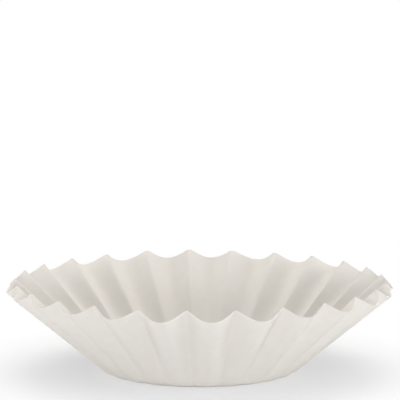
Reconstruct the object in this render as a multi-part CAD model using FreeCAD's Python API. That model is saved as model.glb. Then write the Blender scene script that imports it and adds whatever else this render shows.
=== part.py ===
import FreeCAD, Part
import math
import os

from FreeCAD import Vector

# Basket coffee filter: one round sheet of thin paper, pressed into a flat floor and a fluted, flaring wall.
# The origin is the centre of the floor's underside, +Z points up out of the mouth, and one flute's crest
# lies over +X. A place on the wall is given by its distance along the paper from the floor's edge and by
# its angle about +Z.

# The sheet of paper, in millimetres
sheet_diameter = 203.2
floor_diameter = 82.5
paper_thickness = 0.15

# The pressed shape, in millimetres and degrees
wall_angle = 40.0
bend_radius = 8.0
flute_count = 25
flute_depth = 6.0

# How much faster the grooves deepen near the floor than near the rim, from 0 for evenly
groove_start = 0.4

# Into how many flat steps the curves of the bend, the wall and each flute are divided
bend_steps = 2
wall_steps = 3
flute_steps = 12

floor_radius = floor_diameter / 2
wall_length = (sheet_diameter - floor_diameter) / 2
bend_length = bend_radius * math.radians(wall_angle)


def crest_line(distance):
    """Radius, height and slope of the line that runs up the crests: a bend out of the floor, then straight."""
    slope = min(distance, bend_length) / bend_radius
    straight = max(distance - bend_length, 0.0)
    radius = floor_radius + bend_radius * math.sin(slope) + straight * math.cos(slope)
    height = bend_radius * (1 - math.cos(slope)) + straight * math.sin(slope)
    return radius, height, slope


def groove_depth(distance):
    """Depth of the grooves between the crests, square to the wall: none at the floor's edge, full at the rim."""
    share = distance / wall_length
    return flute_depth * share * (1 + groove_start * (1 - share))


def wall_point(distance, angle):
    """A point on the outer skin of the wall, whose rounded flutes meet in creases."""
    radius, height, slope = crest_line(distance)
    depth = groove_depth(distance) * (1 - abs(math.cos(flute_count * angle / 2)))
    radius -= depth * math.sin(slope)
    height += depth * math.cos(slope)
    return Vector(radius * math.cos(angle), radius * math.sin(angle), height)


def wall_distances():
    """Distances along the paper of the rings that the skins are laid out on, from the floor to the rim."""
    bend = [bend_length * step / bend_steps for step in range(bend_steps)]
    straight = wall_length - bend_length
    return bend + [bend_length + straight * step / wall_steps for step in range(wall_steps + 1)]


def outer_skin():
    """Rings of points on the outer skin."""
    places = flute_count * flute_steps
    angles = [2 * math.pi * place / places for place in range(places)]
    return [[wall_point(distance, angle) for angle in angles] for distance in wall_distances()]


def inner_skin(outer):
    """Rings of points one paper thickness inside the outer skin, square to the paper at each point."""
    inner = [[point + Vector(0, 0, paper_thickness) for point in outer[0]]]
    for row in range(1, len(outer)):
        below = outer[row - 1]
        ring = outer[row]
        above = outer[min(row + 1, len(outer) - 1)]
        inner.append([])
        for place, point in enumerate(ring):
            upwards = above[place] - below[place]
            around = ring[(place + 1) % len(ring)] - ring[place - 1]
            inner[row].append(point + upwards.cross(around).normalize() * paper_thickness)
    return inner


def paper_filter():
    """The filter as one closed solid: up the outer skin, over the cut edge of the sheet, down the inner skin."""
    outer = outer_skin()
    inner = inner_skin(outer)
    rings = outer + inner[::-1]
    wires = [Part.makePolygon(ring + ring[:1]) for ring in rings]
    return Part.makeLoft(wires, True, True)


os.makedirs("parts", exist_ok=True)
paper_filter().exportStep("parts/paper_filter.step")
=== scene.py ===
import math

import bpy
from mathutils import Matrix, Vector


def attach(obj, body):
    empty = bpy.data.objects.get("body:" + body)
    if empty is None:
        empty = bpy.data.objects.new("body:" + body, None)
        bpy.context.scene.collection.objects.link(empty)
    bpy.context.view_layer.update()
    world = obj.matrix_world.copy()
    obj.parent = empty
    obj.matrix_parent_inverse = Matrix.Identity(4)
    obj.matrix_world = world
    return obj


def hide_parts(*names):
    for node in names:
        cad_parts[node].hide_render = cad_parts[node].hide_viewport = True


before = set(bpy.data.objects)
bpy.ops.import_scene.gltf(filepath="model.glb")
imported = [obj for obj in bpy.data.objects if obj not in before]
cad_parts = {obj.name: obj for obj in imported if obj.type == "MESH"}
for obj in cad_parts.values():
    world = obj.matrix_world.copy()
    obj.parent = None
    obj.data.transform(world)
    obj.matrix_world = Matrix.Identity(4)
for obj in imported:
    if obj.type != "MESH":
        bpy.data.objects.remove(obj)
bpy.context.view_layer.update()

# The sheet and its pressed shape, in metres and radians, as the solid has them
SHEET_DIAMETER = 0.2032
FLOOR_DIAMETER = 0.0825
PAPER_THICKNESS = 0.00015
WALL_ANGLE = math.radians(40.0)
BEND_RADIUS = 0.008
FLUTE_COUNT = 25
FLUTE_DEPTH = 0.006
GROOVE_START = 0.4

# How far the real paper strays from an even shape: flutes shift sideways, lean more towards the rim and
# differ in depth, and the wall swells in and out
FLUTE_DRIFT = 0.22
FLUTE_LEAN = 0.25
DEPTH_SPREAD = 0.1
WALL_WARP = 0.0006
CREASE_ROUNDING = 0.1

# Small puckers on the bend, which are deepest at a share of their reach from the floor's edge
PUCKER_DEPTH = 0.00009
PUCKER_REACH = 0.008
PUCKER_PLACE = 0.4
PUCKERS_PER_FLUTE = 7
PUCKER_SPREAD = 3

# How lumpy each unevenness is round the filter, and the seed that they share
DRIFT_LUMPS = 2.2
LEAN_LUMPS = 3.1
DEPTH_LUMPS = 4.0
WARP_LUMPS = 1.3
PUCKER_LUMPS = 9.0
PAPER_SEED = 7.0

# The net of the skin: columns for each flute, and rows on the floor and up the wall
COLUMNS_PER_FLUTE = 32
FLOOR_ROWS = 8
WALL_ROWS = 52
SMALLEST_GAP = 0.00001
SHARP_EDGE = math.radians(60)

# Where the photograph was taken from, in metres and radians
CAMERA_DISTANCE = 1.150
CAMERA_HEIGHT = 0.236
CAMERA_PITCH = math.radians(7.83)
CAMERA_LENS = 229.6
CAMERA_SENSOR = 36.0

# The paper: its darker and paler fibres, and the light that comes through it
DARK_FIBRE = (0.84, 0.815, 0.782, 1.0)
PALE_FIBRE = (0.91, 0.885, 0.852, 1.0)
LIGHT_THROUGH = (0.9, 0.82, 0.68, 1.0)
SHARE_THROUGH = 0.13
LEAST_ROUGHNESS = 0.8
SHEEN = 0.25

# The paper's pattern: lumps to a millimetre of its clouds, crepe lines and fibres, the clouds' share of its
# tone and the crepe lines' share of its relief, and how the crepe lines are drawn out and turned
CLOUD_LUMPS = 0.22
CREPE_LUMPS = 1.1
FIBRE_LUMPS = 2.6
CLOUD_SHARE = 0.6
CREPE_SHARE = 0.7
CREPE_HEIGHT = 0.00006
CREPE_STRENGTH = 0.5
CREPE_STRETCH = (0.12, 1.0, 1.0)
CREPE_TURN = (0.0, 0.0, 0.3)

# The floor: its colour, how much painted light lightens its shadow at the edge of the filter's own floor and
# further out, how far out each reaches, and where the floor has run out to plain white
FLOOR_COLOUR = (0.92, 0.93, 0.96, 1.0)
FLOOR_GLOW = 0.85
EDGE_GLOW = 0.66
OPEN_GLOW = 0.5
EDGE_REACH = 0.042
SHADOW_REACH = 0.052
WHITE_REACH = 0.125

# The light: how strong it is from all round, and the colours of the lamps
WHITE = (1.0, 1.0, 1.0, 1.0)
AIR_LIGHT = 0.31
PLAIN_LIGHT = (1.0, 1.0, 1.0)
WARM_LIGHT = (1.0, 0.978, 0.92)

# The place that the lamps face, and plain measures
MIDDLE = (0.0, 0.0, 0.02)
MILLIMETRE = 0.001
FULL_TURN = 2 * math.pi
UV_NAME = "flat_sheet"


class Socket:
    """An output socket of a node. Python's operators on it add Math nodes to its tree."""

    def __init__(self, builder, socket):
        self.builder = builder
        self.socket = socket

    def maths(self, operation, *others):
        """A Math node on this value and any others."""
        inputs = dict(enumerate((self, *others)))
        return self.builder.add("ShaderNodeMath", {"operation": operation}, inputs)[0]

    def __add__(self, other):
        return self.maths("ADD", other)

    def __radd__(self, other):
        return self.maths("ADD", other)

    def __sub__(self, other):
        return self.maths("SUBTRACT", other)

    def __rsub__(self, other):
        return self.maths("MULTIPLY_ADD", -1.0, other)

    def __mul__(self, other):
        return self.maths("MULTIPLY", other)

    def __rmul__(self, other):
        return self.maths("MULTIPLY", other)

    def __truediv__(self, other):
        return self.maths("DIVIDE", other)

    def sine(self):
        return self.maths("SINE")

    def cosine(self):
        return self.maths("COSINE")

    def at_most(self, other):
        return self.maths("MINIMUM", other)

    def at_least(self, other):
        return self.maths("MAXIMUM", other)

    def between(self, low, high):
        return self.at_least(low).at_most(high)


class Node:
    """A node in a tree, whose outputs are taken by name or number."""

    def __init__(self, builder, node):
        self.builder = builder
        self.node = node

    def __getitem__(self, output):
        return Socket(self.builder, self.node.outputs[output])


class Builder:
    """Adds nodes to one node tree."""

    def __init__(self, tree):
        self.tree = tree

    def add(self, kind, settings, inputs):
        """A node of one kind, with its settings, and with a value or a link for each socket in inputs."""
        node = self.tree.nodes.new(kind)
        for name, value in settings.items():
            setattr(node, name, value)
        for key, value in inputs.items():
            if isinstance(value, Socket):
                self.tree.links.new(value.socket, node.inputs[key])
            else:
                node.inputs[key].default_value = value
        return Node(self, node)


def around(builder, angle, lumps, seed):
    """Smooth unevenness of about -1 to 1 round the filter, which meets itself after a full turn."""
    place = builder.add("ShaderNodeCombineXYZ", {}, {"X": angle.cosine(), "Y": angle.sine()})[0]
    noise = builder.add(
        "ShaderNodeTexNoise",
        {"noise_dimensions": "4D"},
        {"Vector": place, "W": seed, "Scale": lumps, "Detail": 1.0},
    )["Fac"]
    noise_middle = 0.5
    usual_reach = 0.25
    return (noise - noise_middle) / usual_reach


def skin_net(builder):
    """A flat net of faces, and where each of its corners lies: its turn round the filter and its row."""
    rows = FLOOR_ROWS + WALL_ROWS
    net = builder.add(
        "GeometryNodeMeshGrid",
        {},
        {
            "Size X": 1.0,
            "Size Y": 1.0,
            "Vertices X": FLUTE_COUNT * COLUMNS_PER_FLUTE + 1,
            "Vertices Y": rows + 1,
        },
    )["Mesh"]
    position = builder.add("GeometryNodeInputPosition", {}, {})[0]
    corner = builder.add("ShaderNodeSeparateXYZ", {}, {0: position})
    angle = (corner["X"] + 0.5) * FULL_TURN
    row = (corner["Y"] + 0.5) * rows
    return net, angle, row


def plain_profile(size, on_floor, distance):
    """Radius, height and slope of the plain profile: a flat floor, a bend, and a straight wall."""
    bend_radius = size["Bend Radius"]
    slope = (distance / bend_radius).at_most(size["Wall Angle"])
    straight = (distance - size["Wall Angle"] * bend_radius).at_least(0.0)
    radius = on_floor * (size["Floor Diameter"] / 2) + bend_radius * slope.sine() + straight * slope.cosine()
    height = bend_radius * (1 - slope.cosine()) + straight * slope.sine()
    return radius, height, slope


def flute_phase(builder, size, angle, share):
    """Where a place lies along its flute, as an angle that goes round once for each flute."""
    seed = size["Seed"]
    drift = around(builder, angle, DRIFT_LUMPS, seed) * FLUTE_DRIFT
    lean = around(builder, angle, LEAN_LUMPS, seed + 1.0) * share * FLUTE_LEAN
    return angle * size["Flute Count"] + drift + lean


def groove(builder, size, angle, share, phase):
    """How far the skin lies inside the plain profile, in rounded flutes that meet in creases."""
    seed = size["Seed"]
    fold = (phase / 2).cosine()
    rounding = size["Crease Rounding"]
    crest = (rounding * rounding + 1).maths("SQRT")
    wave = (crest - (fold * fold + rounding * rounding).maths("SQRT")) / (crest - rounding)
    depth = size["Flute Depth"] * share * (1 + size["Groove Start"] * (1 - share))
    depth = depth * (1 + around(builder, angle, DEPTH_LUMPS, seed + 2.0) * DEPTH_SPREAD)
    warp = around(builder, angle, WARP_LUMPS, seed + 3.0) * share * share * WALL_WARP
    return depth * wave + warp


def pucker(builder, size, angle, phase, from_edge):
    """Small ripples in the paper on both sides of the floor's edge."""
    drift = around(builder, angle, PUCKER_LUMPS, size["Seed"] + 4.0) * PUCKER_SPREAD
    ripple = (phase * PUCKERS_PER_FLUTE + drift).sine()
    fade = (1 - (from_edge / PUCKER_REACH - PUCKER_PLACE).maths("ABSOLUTE")).at_least(0.0)
    return ripple * fade * PUCKER_DEPTH


def flat_map(builder, geometry, angle, flat_radius):
    """The net with a map of where each place lies on the flat sheet, for the paper's pattern."""
    flat_place = builder.add(
        "ShaderNodeCombineXYZ",
        {},
        {"X": flat_radius * angle.cosine() + 0.5, "Y": flat_radius * angle.sine() + 0.5},
    )[0]
    return builder.add(
        "GeometryNodeStoreNamedAttribute",
        {"data_type": "FLOAT2", "domain": "CORNER"},
        {"Geometry": geometry, "Name": UV_NAME, "Value": flat_place},
    )[0]


def skin_tree(material):
    """The node tree that lays out the paper's outer skin, from the centre of its floor to its rim."""
    tree = bpy.data.node_groups.new("paper_skin", "GeometryNodeTree")
    builder = Builder(tree)
    sizes = {
        "Sheet Diameter": SHEET_DIAMETER,
        "Floor Diameter": FLOOR_DIAMETER,
        "Wall Angle": WALL_ANGLE,
        "Bend Radius": BEND_RADIUS,
        "Flute Count": FLUTE_COUNT,
        "Flute Depth": FLUTE_DEPTH,
        "Groove Start": GROOVE_START,
        "Crease Rounding": CREASE_ROUNDING,
        "Seed": PAPER_SEED,
    }
    for name in sizes:
        tree.interface.new_socket(name, in_out="INPUT", socket_type="NodeSocketFloat")
    tree.interface.new_socket("Geometry", in_out="OUTPUT", socket_type="NodeSocketGeometry")
    size = builder.add("NodeGroupInput", {}, {})

    net, angle, row = skin_net(builder)
    to_edge = 1 - (row / FLOOR_ROWS).between(0.0, 1.0)
    on_floor = 1 - to_edge * to_edge
    share = ((row - FLOOR_ROWS) / WALL_ROWS).between(0.0, 1.0)
    floor_radius = size["Floor Diameter"] / 2
    distance = share * ((size["Sheet Diameter"] - size["Floor Diameter"]) / 2)

    radius, height, slope = plain_profile(size, on_floor, distance)
    phase = flute_phase(builder, size, angle, share)
    from_edge = (on_floor - 1) * floor_radius + distance
    inward = groove(builder, size, angle, share, phase) + pucker(builder, size, angle, phase, from_edge)
    skin_radius = radius - inward * slope.sine()
    skin_height = height + inward * slope.cosine()
    place = builder.add(
        "ShaderNodeCombineXYZ",
        {},
        {
            "X": skin_radius * angle.cosine(),
            "Y": skin_radius * angle.sine(),
            "Z": skin_height.at_least(0.0),
        },
    )[0]

    mapped = flat_map(builder, net, angle, (on_floor * floor_radius + distance) / size["Sheet Diameter"])
    shaped = builder.add("GeometryNodeSetPosition", {}, {"Geometry": mapped, "Position": place})[0]
    closed = builder.add(
        "GeometryNodeMergeByDistance",
        {},
        {"Geometry": shaped, "Distance": SMALLEST_GAP},
    )[0]
    smooth = builder.add("GeometryNodeSetShadeSmooth", {}, {"Geometry": closed})[0]
    real = builder.add("GeometryNodeRealizeInstances", {}, {"Geometry": smooth})[0]
    painted = builder.add("GeometryNodeSetMaterial", {}, {"Geometry": real, "Material": material})[0]
    builder.add("NodeGroupOutput", {}, {"Geometry": painted})
    return tree, sizes


def paper_sheet(material):
    """The whole filter as a closed sheet of paper: its outer skin, with the thickness laid inside it."""
    tree, sizes = skin_tree(material)
    source = bpy.data.objects.new("skin_source", bpy.data.meshes.new("skin_source"))
    bpy.context.scene.collection.objects.link(source)
    layout = source.modifiers.new("layout", "NODES")
    layout.node_group = tree
    for item in tree.interface.items_tree:
        if item.in_out == "INPUT":
            layout[item.identifier] = float(sizes[item.name])
    wall = source.modifiers.new("wall", "SOLIDIFY")
    wall.thickness = PAPER_THICKNESS
    wall.offset = -1.0
    evaluated = source.evaluated_get(bpy.context.evaluated_depsgraph_get())
    mesh = bpy.data.meshes.new_from_object(evaluated)
    mesh.name = "fluted_paper"
    bpy.data.objects.remove(source)
    mesh.set_sharp_from_angle(angle=SHARP_EDGE)
    piece = bpy.data.objects.new("fluted_paper", mesh)
    bpy.context.scene.collection.objects.link(piece)
    return piece


def flat_noise(builder, place, lumps, detail):
    """Noise from 0 to 1 over the flat sheet, with so many lumps to a millimetre."""
    noise = builder.add(
        "ShaderNodeTexNoise",
        {"noise_dimensions": "2D"},
        {"Vector": place, "Scale": lumps, "Detail": detail},
    )
    return noise["Fac"]


def filter_paper():
    """Matt white filter paper: cloudy fibres, fine crepe lines across the sheet, and light through it."""
    material = bpy.data.materials.new("filter_paper")
    material.use_nodes = True
    material.node_tree.nodes.clear()
    builder = Builder(material.node_tree)
    flat = builder.add("ShaderNodeUVMap", {"uv_map": UV_NAME}, {})[0]
    sheet = builder.add(
        "ShaderNodeVectorMath",
        {"operation": "SCALE"},
        {0: flat, "Scale": SHEET_DIAMETER / MILLIMETRE},
    )[0]
    cloud = flat_noise(builder, sheet, CLOUD_LUMPS, detail=3.0)
    crepe_place = builder.add(
        "ShaderNodeMapping",
        {},
        {"Vector": sheet, "Scale": CREPE_STRETCH, "Rotation": CREPE_TURN},
    )[0]
    crepe = flat_noise(builder, crepe_place, CREPE_LUMPS, detail=2.0)
    fibre = flat_noise(builder, sheet, FIBRE_LUMPS, detail=4.0)
    tone = (cloud * CLOUD_SHARE + fibre * (1 - CLOUD_SHARE)).between(0.0, 1.0)
    relief = crepe * CREPE_SHARE + fibre * (1 - CREPE_SHARE)
    roughness = LEAST_ROUGHNESS + fibre * (1 - LEAST_ROUGHNESS)
    colour = builder.add(
        "ShaderNodeMix",
        {"data_type": "RGBA"},
        {"Factor": tone, "A": DARK_FIBRE, "B": PALE_FIBRE},
    )["Result"]
    bump = builder.add(
        "ShaderNodeBump",
        {},
        {"Strength": CREPE_STRENGTH, "Distance": CREPE_HEIGHT, "Height": relief},
    )[0]
    surface = builder.add(
        "ShaderNodeBsdfPrincipled",
        {},
        {"Base Color": colour, "Roughness": roughness, "Specular IOR Level": SHEEN, "Normal": bump},
    )[0]
    through = builder.add("ShaderNodeBsdfTranslucent", {}, {"Color": LIGHT_THROUGH, "Normal": bump})[0]
    both = builder.add("ShaderNodeMixShader", {}, {"Fac": SHARE_THROUGH, 1: surface, 2: through})[0]
    builder.add("ShaderNodeOutputMaterial", {}, {"Surface": both})
    return material


def seen_directly(builder):
    """1 where the camera sees a surface, in a mirror or through glass too, and 0 where light only passes."""
    path = builder.add("ShaderNodeLightPath", {}, {})
    seen = path["Is Camera Ray"] + path["Is Glossy Ray"] + path["Is Transmission Ray"]
    return seen.at_most(1.0)


def floor_white():
    """White floor that keeps the filter's soft shadow, lightened by painted light most at the edge of the
    filter's own floor, and runs out to plain white.
    """
    material = bpy.data.materials.new("floor_white")
    material.use_nodes = True
    material.node_tree.nodes.clear()
    builder = Builder(material.node_tree)
    place = builder.add("ShaderNodeTexCoord", {}, {})["Object"]
    reach = builder.add("ShaderNodeVectorMath", {"operation": "LENGTH"}, {0: place})["Value"]
    share = builder.add(
        "ShaderNodeMapRange",
        {"interpolation_type": "SMOOTHSTEP"},
        {
            "Value": reach,
            "From Min": EDGE_REACH,
            "From Max": SHADOW_REACH,
            "To Min": EDGE_GLOW,
            "To Max": OPEN_GLOW,
        },
    )[0]
    away = builder.add(
        "ShaderNodeMapRange",
        {"interpolation_type": "SMOOTHSTEP"},
        {"Value": reach, "From Min": SHADOW_REACH, "From Max": WHITE_REACH},
    )[0]
    matt = builder.add("ShaderNodeBsdfDiffuse", {}, {"Color": FLOOR_COLOUR})[0]
    glow = builder.add("ShaderNodeEmission", {}, {"Color": WHITE, "Strength": FLOOR_GLOW})[0]
    white = builder.add("ShaderNodeEmission", {}, {"Color": WHITE, "Strength": 1.0})[0]
    # Painted light: the camera sees part of the floor as even white glow, a larger part at the edge of the
    # filter's floor, which lightens its shadow
    shaded = builder.add("ShaderNodeMixShader", {}, {"Fac": share, 1: matt, 2: glow})[0]
    shown = builder.add("ShaderNodeMixShader", {}, {"Fac": away, 1: shaded, 2: white})[0]
    both = builder.add("ShaderNodeMixShader", {}, {"Fac": seen_directly(builder), 1: matt, 2: shown})[0]
    builder.add("ShaderNodeOutputMaterial", {}, {"Surface": both})
    return material


def studio_floor():
    """A flat floor just under the filter, wide enough for every view."""
    reach = 3.0
    drop = 0.00005
    sides = [(-reach, -reach), (reach, -reach), (reach, reach), (-reach, reach)]
    corners = [(x, y, -drop) for x, y in sides]
    mesh = bpy.data.meshes.new("studio_floor")
    mesh.from_pydata(corners, [], [(0, 1, 2, 3)])
    mesh.materials.append(floor_white())
    floor = bpy.data.objects.new("studio_floor", mesh)
    bpy.context.scene.collection.objects.link(floor)


def studio_air():
    """Even white light from all round, behind which the camera sees plain white."""
    world = bpy.data.worlds.new("studio_air")
    bpy.context.scene.world = world
    world.use_nodes = True
    world.node_tree.nodes.clear()
    builder = Builder(world.node_tree)
    light = builder.add("ShaderNodeBackground", {}, {"Color": WHITE, "Strength": AIR_LIGHT})[0]
    backdrop = builder.add("ShaderNodeBackground", {}, {"Color": WHITE, "Strength": 1.0})[0]
    both = builder.add("ShaderNodeMixShader", {}, {"Fac": seen_directly(builder), 1: light, 2: backdrop})[0]
    builder.add("ShaderNodeOutputWorld", {}, {"Surface": both})


def softbox(name, place, size, power, colour):
    """A square soft lamp that faces the filter and that the camera can't see."""
    lamp = bpy.data.lights.new(name, "AREA")
    lamp.size = size
    lamp.energy = power
    lamp.color = colour
    holder = bpy.data.objects.new(name, lamp)
    holder.location = place
    holder.rotation_euler = (Vector(MIDDLE) - Vector(place)).to_track_quat("-Z", "Y").to_euler()
    holder.visible_camera = False
    bpy.context.scene.collection.objects.link(holder)


def camera():
    """The camera at the photograph's place, looking a little down at the filter."""
    lens = bpy.data.cameras.new("camera")
    lens.lens = CAMERA_LENS
    lens.sensor_width = CAMERA_SENSOR
    lens.clip_start = 0.01
    holder = bpy.data.objects.new("camera", lens)
    holder.location = (0.0, -CAMERA_DISTANCE, CAMERA_HEIGHT)
    holder.rotation_euler = (math.radians(90) - CAMERA_PITCH, 0.0, 0.0)
    bpy.context.scene.collection.objects.link(holder)
    bpy.context.scene.camera = holder


camera()
studio_floor()
studio_air()
softbox("left_softbox", place=(-0.87, -0.3, 0.28), size=0.5, power=2.5, colour=PLAIN_LIGHT)
softbox("right_softbox", place=(0.85, -0.36, 0.28), size=0.5, power=3.1, colour=PLAIN_LIGHT)
softbox("back_softbox", place=(0.0, 0.5, 1.1), size=0.9, power=8.0, colour=WARM_LIGHT)
softbox("front_softbox", place=(0.0, -1.3, 0.07), size=0.28, power=7.2, colour=PLAIN_LIGHT)

bpy.context.scene.view_settings.view_transform = "Standard"

paper = paper_sheet(filter_paper())
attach(paper, "root")
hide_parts("paper_filter")
